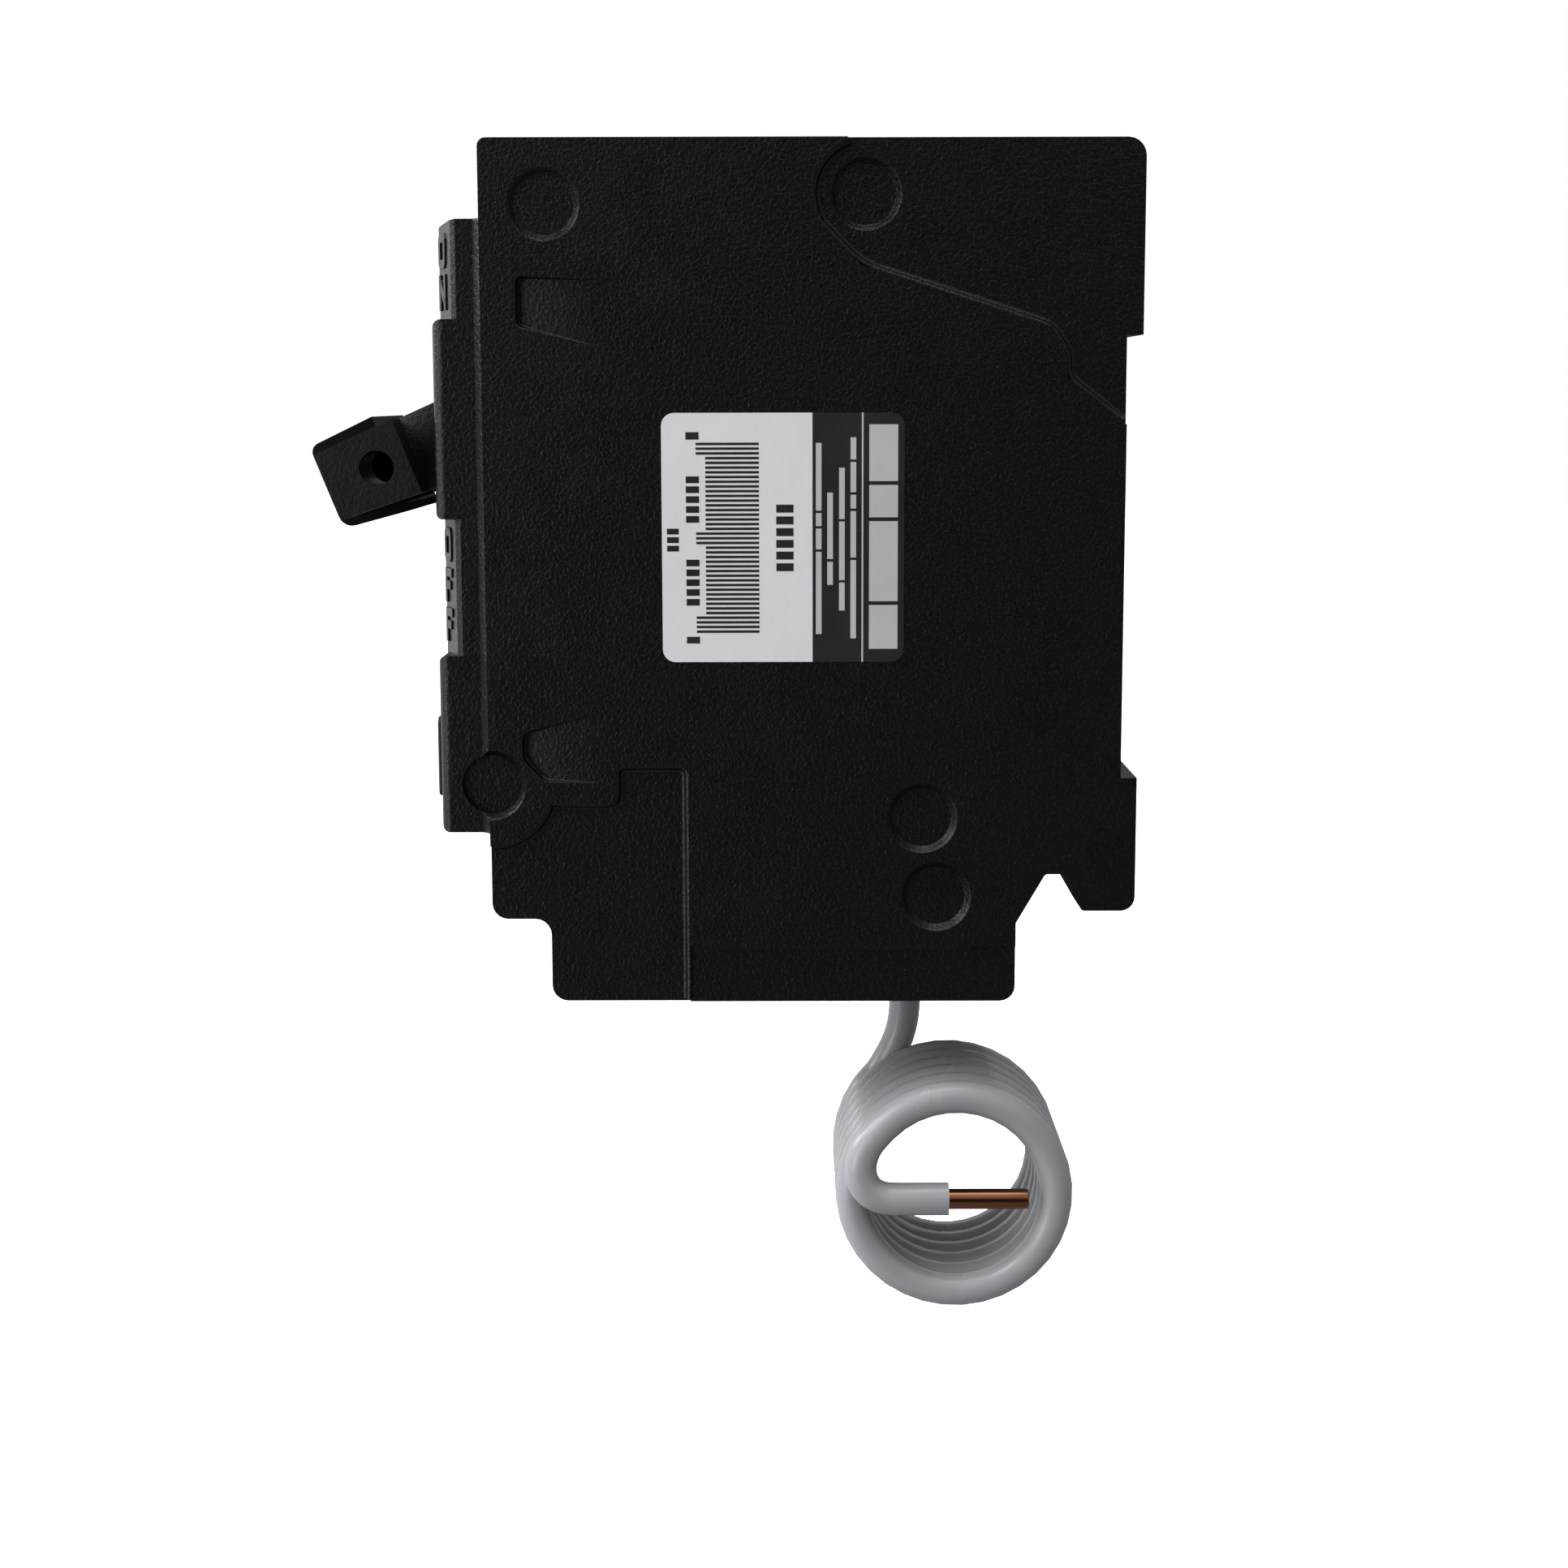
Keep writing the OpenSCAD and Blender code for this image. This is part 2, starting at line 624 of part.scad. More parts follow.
module arc_chute() {
    for (i = [0:4]) difference() {
        block(9.2, 20.8, -23, -11, 61 + 3 * i, 62 + 3 * i);
        block(10.6, 14.8, -24, -18, 60 + 3 * i, 63 + 3 * i);
    }
    for (x = [8.4, 20.8]) block(x, x + 0.8, -23, -11, 60, 75.4);
}

// ---- Latch, thermal and magnetic trip ----

module cradle() {
    difference() {
        side(16.8, 18.4) polygon(concat(
            arc(cradle_pivot, 3.2, 60, 240, 14),
            [[-49.8, 73], [-45.2, 51.8], [-43.8, 50.2], [-37.8, 50.2], [-37.8, 52.2],
                [-41.8, 52.6], [-46.2, 75]]
        ));
        along_x(cradle_pivot, pin_r + pin_fit, 16, 19);
    }
}

module toggle_spring() {
    in_frame() translate([15.35, -46, 64.6]) rotate([18.4, 0, 0]) cylinder(r = 1.05, h = 10.5);
}

module bimetal() {
    block(12.5, 18.5, -34, -32.8, 22, 56);
    block(12.9, 18.1, -32.8, -30.6, 21, 28);
}

module magnet_yoke() {
    difference() {
        block(11.2, 19.8, -37.2, -31.4, 36, 45);
        block(12.2, 18.8, -38, -32.5, 35, 46);
    }
}

module armature() {
    difference() {
        union() {
            block(11.4, 19.6, -39.4, -38.2, armature_pivot[1], 56.5);
            along_x(armature_pivot, 0.9, 10.6, 20.4);
        }
        block(16.2, 19, -40, -37, 47.3, 54.2);
    }
}

// ---- Load terminals ----

module load_conductor() {
    tube(load_route, 1.25, [0, 0, 1]);
}

module lug(x) {
    difference() {
        block(x - lug_size[0] / 2, x + lug_size[0] / 2, lug_front, lug_front + lug_size[1],
            lug_foot, lug_foot + lug_size[2]);
        along_z(x, wire_y, wire_r, lug_foot - 1, lug_foot + lug_size[2] - 1.2);
        along_y(x, screw_z, 2.06, lug_front - 1, wire_y - wire_r / 2);
    }
}

module lug_screw(x) {
    head_y = -69.6;
    color([0.78, 0.78, 0.8]) difference() {
        union() {
            along_y(x, screw_z, 3.1, head_y, head_y + 2.6);
            along_y(x, screw_z, 2, head_y + 2.6 - eps, wire_y - wire_r - 0.3);
        }
        for (turn = [0, 90]) in_frame() translate([x, head_y - 1, screw_z]) rotate([0, turn, 0])
            translate([-2.3, 0, -0.5]) cube([4.6, 2.2, 1]);
    }
}

// ---- Ground-fault module ----

module toroid(y0, y1) {
    in_frame() translate([0, y0, toroid_z]) rotate([-90, 0, 0]) rotate_extrude()
        translate([4.2, 0]) square([2, y1 - y0]);
}

module circuit_board() {
    color([0.1, 0.35, 0.2]) difference() {
        block(-5.4, -3.8, -52, -8, 52.5, 85);
        for (p = [[-49.5, 82.5], [-10.5, 55]]) along_x(p, 1.3, -6, -3);
    }
}

module board_components() {
    color([0.15, 0.15, 0.17]) {
        block(-3.8, -1.6, -44, -34, 70, 76);
        block(-3.8, -0.8, -24, -18, 74, 80);
        block(-3.8, 0.4, -20, -12, 60, 66);
        along_x([-28, 62], 3, -3.8, 4.6);
        along_x([-38, 62.5], 2.2, -3.8, 2.4);
        along_x([-44, 80], 2.2, -3.8, 2.4);
        along_x([-13, 75], 1.6, -3.8, -0.6);
        for (i = [0:3]) block(-3.8, -2.2, -46 + 4 * i, -44 + 4 * i, 54.5, 58.5);
    }
}

module solenoid_coil() {
    color([0.72, 0.36, 0.16]) in_frame() translate([0, -38, sol_z]) rotate([-90, 0, 0]) difference() {
        cylinder(r = 4.8, h = 15);
        translate([0, 0, -1]) cylinder(r = 2.2, h = 17);
    }
}

module solenoid_frame() {
    color([0.66, 0.66, 0.68]) difference() {
        block(-5, 5, -39, -21.8, sol_z - 6, sol_z + 6);
        block(-6, 6, -38, -23, sol_z - 5, sol_z + 5);
        along_y(0, sol_z, 2.3, -40, -37);
    }
}

module solenoid_plunger() {
    color([0.8, 0.8, 0.82]) union() {
        along_y(0, sol_z, plunger_r, -40.5, -26);
        along_y(0, sol_z, 0.9, -46.1, -40.4);
        along_y(0, sol_z, 2.8, -46.2, -45);
    }
}

module trip_bar() {
    fork_half = 1.4;
    color([0.85, 0.8, 0.7]) union() {
        along_x(trip_pivot, pin_r, -19, 19);
        difference() {
            block(-3, 3, trip_pivot[0] - 0.5, trip_pivot[0] + 0.6, trip_pivot[1], 48.5);
            block(-fork_half, fork_half, trip_pivot[0] - 2, trip_pivot[0] + 2, 43, 50);
        }
        for (s = [-1, 1]) side(min(s * 12.5, s * 15.5), max(s * 12.5, s * 15.5))
            polygon([[-44.4, 36.5], [-42.4, 36.2], [-40.1, 41], [-40.1, 42.4], [-41.4, 42.4]]);
    }
}

// ---- Test button ----

module test_button() {
    color([0.93, 0.93, 0.9]) difference() {
        union() {
            in_frame() translate([0, button_front, 0]) rotate([-90, 0, 0]) linear_extrude(8.2)
                polygon(rounded([[-button_w / 2, -button_top, 0.8], [button_w / 2, -button_top, 0.8],
                    [button_w / 2, -button_foot, 0.8], [-button_w / 2, -button_foot, 0.8]], 4));
            block(-core_in + 0.15, core_in - 0.15, esc_y + wall + 0.1, esc_y + wall + 1.3,
                button_foot - 0.2, button_top + 1.2);
        }
        along_y(0, button_mid, 2.6, esc_y + wall - 0.5, front_y + 2);
    }
}

module test_spring() {
    spring_y = esc_y + wall - 0.5;
    color([0.8, 0.8, 0.82]) in_frame() translate([0, spring_y, button_mid]) rotate([-90, 0, 0])
        difference() {
            cylinder(r = 2.2, h = -67.9 - spring_y);
            translate([0, 0, -1]) cylinder(r = 1.6, h = 12);
        }
}

module test_contacts() {
    color([0.8, 0.65, 0.35]) {
        block(-5, 5, -67.9, -67, 23, 28);
        block(-5, -3.6, -67, -60.5, 24.5, 26.5);
        block(3.6, 5, -67, -60.5, 24.5, 26.5);
        block(-5.6, 5.6, -60.5, -59.3, 23, 31);
    }
}

// ---- Label and pigtail ----

module rating_label() {
    color([0.78, 0.78, 0.8]) side(half_w, half_w + 0.12) polygon(rounded([
        [-52.66, 38.59, 1.4], [-26.05, 38.59, 1.4], [-26.05, 65.88, 1.4], [-52.66, 65.88, 1.4]]));
}

module pigtail_clamp() {
    color([0.85, 0.85, 0.85]) difference() {
        union() {
            along_z(exit_x, exit_y, clamp_r - 0.05, 0, 1.9);
            along_z(exit_x, exit_y, clamp_r + 0.8, wall, wall + 0.9);
        }
        along_z(exit_x, exit_y, cord_d / 2 + 0.25, -1, 5);
    }
}

module pigtail_lead() {
    color([0.85, 0.85, 0.87]) tube(lead_route, cord_d / 2);
}

module pigtail_coil() {
    color([0.85, 0.85, 0.87]) in_frame() translate([coil_x0 - cord_d / 2, coil_y, coil_z]) rotate([0, 90, 0])
        rotate_extrude() translate([coil_r - cord_d / 2, 0])
            square([cord_d, coil_x1 - coil_x0 + cord_d]);
}

module pigtail_tail() {
    color([0.85, 0.85, 0.87]) tube(tail_route, cord_d / 2);
}

module pigtail_copper() {
    tail_end = tail_route[len(tail_route) - 1];
    color([0.6, 0.35, 0.22])
        along_y(tail_end[0], tail_end[2], copper_d / 2, tail_end[1], tail_end[1] + copper_len);
}

copper_red = [0.72, 0.42, 0.25];
steel = [0.66, 0.67, 0.7];
silver = [0.85, 0.85, 0.84];
brass_yellow = [0.8, 0.66, 0.36];

right_cover();
left_cover();
centre_case();
barrier_plate();
case_screws();
pivot_pins();
handle_right();
handle_left();
handle_tie();
color(copper_red) contact_arm();  // contact_arm_right
color(copper_red) other_side() contact_arm();  // contact_arm_left
color(silver) moving_contact();  // moving_contact_right
color(silver) other_side() moving_contact();  // moving_contact_left
color(silver) fixed_contact();  // fixed_contact_right
color(silver) other_side() fixed_contact();  // fixed_contact_left
color(copper_red) line_jaw();  // line_jaw_right
color(copper_red) other_side() line_jaw();  // line_jaw_left
color(steel) jaw_spring();  // jaw_spring_right
color(steel) other_side() jaw_spring();  // jaw_spring_left
color(steel) arc_chute();  // arc_chute_right
color(steel) other_side() arc_chute();  // arc_chute_left
color(steel) cradle();  // cradle_right
color(steel) other_side() cradle();  // cradle_left
color(steel) toggle_spring();  // toggle_spring_right
color(steel) other_side() toggle_spring();  // toggle_spring_left
color(brass_yellow) bimetal();  // bimetal_right
color(brass_yellow) other_side() bimetal();  // bimetal_left
color(steel) magnet_yoke();  // magnet_yoke_right
color(steel) other_side() magnet_yoke();  // magnet_yoke_left
color(steel) armature();  // armature_right
color(steel) other_side() armature();  // armature_left
color(copper_red) tube(braid_route, 1);  // braid_right
color(copper_red) other_side() tube(braid_route, 1);  // braid_left
color(copper_red) load_conductor();  // load_conductor_right
color(copper_red) other_side() load_conductor();  // load_conductor_left
color(silver) tube(neutral_route, cord_d / 2);  // neutral_conductor
color(silver) lug(terminal_pitch);  // load_lug_right
color(silver) lug(-terminal_pitch);  // load_lug_left
color(silver) lug(0);  // neutral_lug
lug_screw(terminal_pitch);  // lug_screw_right
lug_screw(-terminal_pitch);  // lug_screw_left
lug_screw(0);  // neutral_screw
color([0.2, 0.3, 0.2]) toroid(-37.5, -33);  // sense_toroid
color([0.3, 0.22, 0.15]) toroid(-42.5, -38);  // neutral_toroid
circuit_board();
board_components();
solenoid_coil();
solenoid_frame();
solenoid_plunger();
trip_bar();
test_button();
test_spring();
test_contacts();
rating_label();
pigtail_clamp();
pigtail_lead();
pigtail_coil();
pigtail_tail();
pigtail_copper();
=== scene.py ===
import json
import math

import bmesh
import bpy
from mathutils import Matrix, Vector

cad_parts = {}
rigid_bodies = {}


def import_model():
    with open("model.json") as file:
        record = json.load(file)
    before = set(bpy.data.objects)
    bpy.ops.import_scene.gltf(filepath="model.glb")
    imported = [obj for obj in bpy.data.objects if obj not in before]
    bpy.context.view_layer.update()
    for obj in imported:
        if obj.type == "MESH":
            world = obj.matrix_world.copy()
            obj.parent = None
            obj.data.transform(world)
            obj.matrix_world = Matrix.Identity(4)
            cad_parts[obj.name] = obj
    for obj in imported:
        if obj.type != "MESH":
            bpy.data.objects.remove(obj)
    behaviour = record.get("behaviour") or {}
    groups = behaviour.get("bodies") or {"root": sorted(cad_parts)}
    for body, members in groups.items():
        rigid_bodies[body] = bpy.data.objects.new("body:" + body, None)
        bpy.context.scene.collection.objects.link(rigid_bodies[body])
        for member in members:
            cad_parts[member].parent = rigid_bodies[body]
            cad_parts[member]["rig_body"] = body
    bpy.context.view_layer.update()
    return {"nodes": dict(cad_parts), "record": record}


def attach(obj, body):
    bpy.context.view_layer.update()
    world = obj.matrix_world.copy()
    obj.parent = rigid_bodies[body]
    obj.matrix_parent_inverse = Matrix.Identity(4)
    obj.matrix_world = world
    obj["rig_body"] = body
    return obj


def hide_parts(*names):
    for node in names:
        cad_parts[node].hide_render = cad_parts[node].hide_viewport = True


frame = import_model()
nodes = frame["nodes"]
slots = {part["node"]: part["material_slot"] for part in frame["record"]["subparts"]}

# Lengths below are in mm where nothing else is said
MM = 0.001
SEAT = 84.7          # height of the origin above the load end
HALF_W = 25.4        # from the middle plane to a side face
SIDES = ((1, "right"), (-1, "left"))


def at(x, y, z):
    """A point of part.scad's drawing (z from the load end) in the shared frame, in metres."""
    return Vector((x * MM, y * MM, (z - SEAT) * MM))


# ---------------------------------------------------------------- camera

CAMERA_AT = (309.6, -38.84, 67.57)
PITCH = math.radians(8.5357)
YAW = math.radians(-0.0954)
ROLL = math.radians(-0.1354)
forward = Vector((-math.cos(PITCH) * math.cos(YAW), math.cos(PITCH) * math.sin(YAW), -math.sin(PITCH)))
facing = forward.to_track_quat("-Z", "Y").to_matrix() @ Matrix.Rotation(ROLL, 3, "Z")
camera_data = bpy.data.cameras.new("camera")
camera_data.lens = 59.2
camera_data.sensor_width = 36.0
camera_data.clip_start = 0.01
camera_data.clip_end = 20.0
camera = bpy.data.objects.new("camera", camera_data)
camera.matrix_world = Matrix.Translation(at(*CAMERA_AT)) @ facing.to_4x4()
bpy.context.scene.collection.objects.link(camera)
bpy.context.scene.camera = camera


# ---------------------------------------------------------------- materials

def put(node, values):
    """Set a node's inputs by name."""
    for socket, value in values.items():
        node.inputs[socket].default_value = value


def bump(tree, pattern, distance, under=None):
    """A Bump node that follows a pattern to this depth in metres, laid over another Bump."""
    relief = tree.nodes.new("ShaderNodeBump")
    put(relief, {"Distance": distance, "Strength": 1.0})
    tree.links.new(pattern.outputs["Fac"], relief.inputs["Height"])
    if under:
        tree.links.new(under.outputs["Normal"], relief.inputs["Normal"])
    return relief


def surface(name, color, rough, metallic=0.0, spread=0.12, rough_spread=0.06, mottle=180.0,
            grain=0.0, grain_scale=1500.0, stretch=(1, 1, 1), coat=0.0, specular=0.5,
            wave=0.0, wave_scale=0.0, wave_axis="X"):
    """A Principled material whose colour, roughness and relief vary over the surface.
    grain and wave are depths of relief in metres. mottle, grain_scale and wave_scale are
    frequencies per metre, and stretch multiplies the first two along each axis."""
    material = bpy.data.materials.new(name)
    material.use_nodes = True
    tree = material.node_tree
    made, links = tree.nodes, tree.links
    shader = made["Principled BSDF"]
    put(shader, {"Metallic": metallic, "Specular IOR Level": specular, "Coat Weight": coat,
                 "Coat Roughness": 0.08})
    place = made.new("ShaderNodeTexCoord")
    scaled = made.new("ShaderNodeMapping")
    put(scaled, {"Scale": stretch})
    links.new(place.outputs["Object"], scaled.inputs["Vector"])
    cloud = made.new("ShaderNodeTexNoise")
    put(cloud, {"Scale": mottle, "Detail": 3.0})
    links.new(scaled.outputs["Vector"], cloud.inputs["Vector"])
    tint = made.new("ShaderNodeValToRGB")
    dark, light = tint.color_ramp.elements
    dark.position, light.position = 0.3, 0.7
    dark.color = [c * (1 - spread) for c in color] + [1]
    light.color = [min(1, c * (1 + spread)) for c in color] + [1]
    links.new(cloud.outputs["Fac"], tint.inputs["Fac"])
    links.new(tint.outputs["Color"], shader.inputs["Base Color"])
    gloss = made.new("ShaderNodeMapRange")
    put(gloss, {"To Min": max(0.02, rough - rough_spread), "To Max": min(1.0, rough + rough_spread)})
    links.new(cloud.outputs["Fac"], gloss.inputs["Value"])
    links.new(gloss.outputs["Result"], shader.inputs["Roughness"])
    height = None
    if grain:
        pebbles = made.new("ShaderNodeTexNoise")
        put(pebbles, {"Scale": grain_scale, "Detail": 2.0, "Roughness": 0.45, "Distortion": 0.6})
        links.new(scaled.outputs["Vector"], pebbles.inputs["Vector"])
        height = bump(tree, pebbles, grain)
    if wave:
        windings = made.new("ShaderNodeTexWave")
        windings.bands_direction = wave_axis
        put(windings, {"Scale": wave_scale, "Distortion": 0.4})
        links.new(place.outputs["Object"], windings.inputs["Vector"])
        height = bump(tree, windings, wave, height)
    if height:
        links.new(height.outputs["Normal"], shader.inputs["Normal"])
    return material


# One for each material slot of the record
FINISHES = {
    "case_black": dict(color=(0.0020, 0.0020, 0.0021), rough=0.32, spread=0.15, rough_spread=0.03,
                       grain=0.00009, grain_scale=2600, specular=0.30),
    "handle_black": dict(color=(0.0042, 0.0042, 0.0043), rough=0.42, grain=0.00007, grain_scale=2300,
                         specular=0.26),
    "tie_black": dict(color=(0.0030, 0.0030, 0.0032), rough=0.16, rough_spread=0.04, grain=0.000004,
                      grain_scale=500, specular=0.45),
    "barrier_fibre": dict(color=(0.45, 0.40, 0.29), rough=0.75, grain=0.00003, grain_scale=2500,
                          stretch=(1, 1, 4)),
    "screw_steel": dict(color=(0.60, 0.60, 0.58), rough=0.34, metallic=1.0, grain=0.00001,
                        grain_scale=3000),
    "pin_steel": dict(color=(0.62, 0.62, 0.63), rough=0.24, metallic=1.0, grain=0.000004,
                      grain_scale=4000, stretch=(0.1, 1, 1)),
    "copper": dict(color=(0.72, 0.36, 0.22), rough=0.33, metallic=1.0, grain=0.000008,
                   grain_scale=2500, stretch=(1, 0.2, 1)),
    "silver_contact": dict(color=(0.82, 0.81, 0.78), rough=0.3, metallic=1.0, grain=0.00001,
                           grain_scale=2500),
    "spring_steel": dict(color=(0.52, 0.53, 0.55), rough=0.22, metallic=1.0, grain=0.000004,
                         grain_scale=4000),
    "chute_steel": dict(color=(0.58, 0.58, 0.60), rough=0.38, metallic=1.0, grain=0.00001,
                        grain_scale=2000),
    "bimetal": dict(color=(0.66, 0.58, 0.42), rough=0.32, metallic=1.0, grain=0.000006,
                    grain_scale=3000, stretch=(1, 1, 0.15)),
    "lug_aluminium": dict(color=(0.78, 0.78, 0.77), rough=0.3, metallic=1.0, grain=0.00001,
                          grain_scale=2200, stretch=(1, 0.2, 1)),
    "toroid_wrap": dict(color=(0.045, 0.14, 0.10), rough=0.55, wave=0.00008, wave_scale=420),
    "toroid_varnish": dict(color=(0.30, 0.10, 0.03), rough=0.25, coat=0.6, wave=0.00012,
                           wave_scale=480),
    "board_green": dict(color=(0.015, 0.12, 0.05), rough=0.28, coat=0.5, grain=0.000008,
                        grain_scale=1200),
    "component_black": dict(color=(0.02, 0.02, 0.022), rough=0.42, grain=0.00002, grain_scale=3500),
    "coil_winding": dict(color=(0.50, 0.20, 0.07), rough=0.26, metallic=0.8, wave=0.00010,
                         wave_scale=900, wave_axis="Y"),
    "trip_plastic": dict(color=(0.62, 0.54, 0.38), rough=0.5, grain=0.00002, grain_scale=1800),
    "button_black": dict(color=(0.012, 0.012, 0.0125), rough=0.4, grain=0.00002, grain_scale=1800),
    "contact_bronze": dict(color=(0.66, 0.46, 0.22), rough=0.3, metallic=1.0, grain=0.000006,
                           grain_scale=2600, stretch=(1, 0.2, 1)),
    "label_film": dict(color=(0.75, 0.755, 0.77), rough=0.36, spread=0.02, rough_spread=0.03,
                       grain=0.000004, grain_scale=900, specular=0.4),
    "clamp_plastic": dict(color=(0.62, 0.62, 0.62), rough=0.45, grain=0.00001, grain_scale=2000),
    # The cord's insulation is white. This grey colour is painted shade that darkens the whole cord for
    # the dim light falling on it.
    "cord_white": dict(color=(0.325, 0.33, 0.345), rough=0.26, spread=0.03, rough_spread=0.05,
                       grain=0.000006, grain_scale=700, specular=0.5),
    "bare_copper": dict(color=(0.24, 0.098, 0.05), rough=0.22, metallic=1.0, spread=0.2,
                        grain=0.000006, grain_scale=2600, stretch=(1, 0.08, 1)),
}
MATERIALS = {slot: surface(slot, **finish) for slot, finish in FINISHES.items()}
INK_BLACK = surface("ink_black", (0.012, 0.012, 0.013), 0.4, spread=0.1, grain=0.000002,
                    grain_scale=2500)
INK_WHITE = surface("ink_white", (0.50, 0.51, 0.52), 0.4, spread=0.03, grain=0.000002,
                    grain_scale=2500)

for node, slot in slots.items():
    cad_mesh = nodes[node].data
    cad_mesh.materials.clear()
    cad_mesh.materials.append(MATERIALS[slot])


# ---------------------------------------------------------------- helpers

SHARP = math.radians(35)        # edges of a new piece that turn more than this are shaded sharp
WELD = 2e-6                     # metres; points of a CAD mesh closer than this are one
FLAT = math.radians(0.6)        # its faces that turn less than this are one
BEVELLED = math.radians(32)     # its edges that turn more than this are rounded
MOULDING_SHARP = math.radians(42)
WIRE_SIDES, WIRE_STEPS = 8, 16  # points round a spring's wire, and along each of its turns
ROUND_STEPS = 6                 # steps along a rounded corner


def add_mesh(name, verts, faces, material, body, smooth=True):
    """A new piece of these vertices, in metres, that rides on body."""
    mesh = bpy.data.meshes.new(name)
    mesh.from_pydata([tuple(v) for v in verts], [], faces)
    mesh.materials.append(material)
    work = bmesh.new()
    work.from_mesh(mesh)
    bmesh.ops.recalc_face_normals(work, faces=work.faces[:])
    work.to_mesh(mesh)
    work.free()
    if smooth:
        mesh.polygons.foreach_set("use_smooth", [True] * len(mesh.polygons))
        mesh.set_sharp_from_angle(angle=SHARP)
    piece = bpy.data.objects.new(name, mesh)
    bpy.context.scene.collection.objects.link(piece)
    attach(piece, body)
    return piece


def tangent(path, i):
    """Direction of a path at its point i."""
    return (path[min(i + 1, len(path) - 1)] - path[max(i - 1, 0)]).normalized()


def ring_frames(path):
    """Two directions across the path at each of its points, without twist."""
    normal = tangent(path, 0).orthogonal().normalized()
    frames = []
    for i in range(len(path)):
        t = tangent(path, i)
        normal = (normal - t * normal.dot(t)).normalized()
        frames.append((normal, t.cross(normal)))
    return frames


def skinned(rings, size):
    """Faces of a closed skin over this many rings of size vertices, and its two flat ends."""
    faces = []
    for i in range(rings - 1):
        for k in range(size):
            a, b = i * size + k, i * size + (k + 1) % size
            faces.append((a, b, b + size, a + size))
    return faces + [tuple(range(size)), tuple(range((rings - 1) * size, rings * size))]


def swept(path, radii, sides):
    """Vertices and faces of a closed tube along path; radii has one radius for each point."""
    verts = []
    for point, radius, (n, b) in zip(path, radii, ring_frames(path)):
        for k in range(sides):
            a = 2 * math.pi * k / sides
            verts.append(point + radius * (math.cos(a) * n + math.sin(a) * b))
    return verts, skinned(len(path), sides)


def smooth_path(points, steps):
    """Catmull-Rom curve through the points."""
    line = []
    for i in range(len(points) - 1):
        p0, p1 = points[max(i - 1, 0)], points[i]
        p2, p3 = points[i + 1], points[min(i + 2, len(points) - 1)]
        for k in range(steps):
            t = k / steps
            line.append(0.5 * (2 * p1 + (p2 - p0) * t + (2 * p0 - 5 * p1 + 4 * p2 - p3) * t * t
                               + (3 * p1 - p0 - 3 * p2 + p3) * t ** 3))
    line.append(points[-1])
    return line


def helix_spring(name, start, end, radius, wire, turns, body, node):
    """A coil spring of round wire between two points, in place of a CAD node. radius is the
    outer one, and wire the wire's thickness."""
    a, b = at(*start), at(*end)
    axis = (b - a).normalized()
    n = axis.orthogonal().normalized()
    m = axis.cross(n)
    count = turns * WIRE_STEPS
    path = []
    for i in range(count + 1):
        angle = 2 * math.pi * turns * i / count
        out = math.cos(angle) * n + math.sin(angle) * m
        path.append(a.lerp(b, i / count) + (radius - wire / 2) * MM * out)
    verts, faces = swept(path, [wire / 2 * MM] * len(path), WIRE_SIDES)
    piece = add_mesh(name, verts, faces, MATERIALS["spring_steel"], body)
    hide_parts(node)


def refined(node, width):
    """A copy of a CAD node with its sharp edges rounded this wide, which stands for the node."""
    source = nodes[node]
    name = node + "_moulding"
    mesh = source.data.copy()
    work = bmesh.new()
    work.from_mesh(mesh)
    bmesh.ops.remove_doubles(work, verts=work.verts[:], dist=WELD)
    bmesh.ops.dissolve_limit(work, angle_limit=FLAT, verts=work.verts[:], edges=work.edges[:],
                             use_dissolve_boundaries=False)
    work.to_mesh(mesh)
    work.free()
    piece = bpy.data.objects.new(name, mesh)
    bpy.context.scene.collection.objects.link(piece)
    bevel = piece.modifiers.new("edges", "BEVEL")
    bevel.width = width * MM
    bevel.segments = 2
    bevel.limit_method = "ANGLE"
    bevel.angle_limit = BEVELLED
    bevel.use_clamp_overlap = True
    bevel.miter_outer = "MITER_ARC"
    bpy.context.view_layer.update()
    rounded = piece.evaluated_get(bpy.context.evaluated_depsgraph_get())
    final = bpy.data.meshes.new_from_object(rounded)
    piece.modifiers.clear()
    piece.data = final
    final.polygons.foreach_set("use_smooth", [True] * len(final.polygons))
    final.set_sharp_from_angle(angle=MOULDING_SHARP)
    piece.modifiers.new("normals", "WEIGHTED_NORMAL").keep_sharp = True
    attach(piece, source["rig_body"])
    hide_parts(node)


# ---------------------------------------------------------------- pigtail

# The route's points are those of part.scad
CORD_R = 1.875
COIL_X, COIL_Y, COIL_Z = 1.1, -19.8, -23.43     # middle of the coil, and x where it starts
COIL_R, COIL_PITCH = 11.8, 3.77
COIL_FROM, COIL_TO, COIL_STEP = 145, 2300, 10   # degrees
TAIL_X, TAIL_Z = 23.72, -23.57                  # the tail's straight end
LEAD = [(2, -24.6, 0), (2, -24.6, -2), (1.95, -24.62, -4), (1.85, -24.7, -6), (1.7, -24.9, -8),
        (1.5, -25.4, -10), (1.3, -26.3, -12.1), (1.15, -27.55, -14.3), (1.1, -28.5, -15.45),
        (1.1, -29.44, -16.63)]
TAIL = [(23.65, -29.9, -17.25), (23.7, -30.5, -18.75), (TAIL_X, -30.65, -20.3),
        (TAIL_X, -30.25, -21.75), (TAIL_X, -29.4, -22.8), (TAIL_X, -28.1, -23.42),
        (TAIL_X, -26.6, TAIL_Z), (TAIL_X, -24.6, TAIL_Z), (TAIL_X, -22.5, TAIL_Z),
        (TAIL_X, -20.55, TAIL_Z)]
# (y, radius) along the bare end, whose cut edge is eased
COPPER = [(-20.8, 1.17), (-18, 1.17), (-14, 1.17), (-11.9, 1.17), (-11.45, 1.12), (-11.35, 0.95)]
CURVE_STEPS = 4
CORD_SIDES = 24


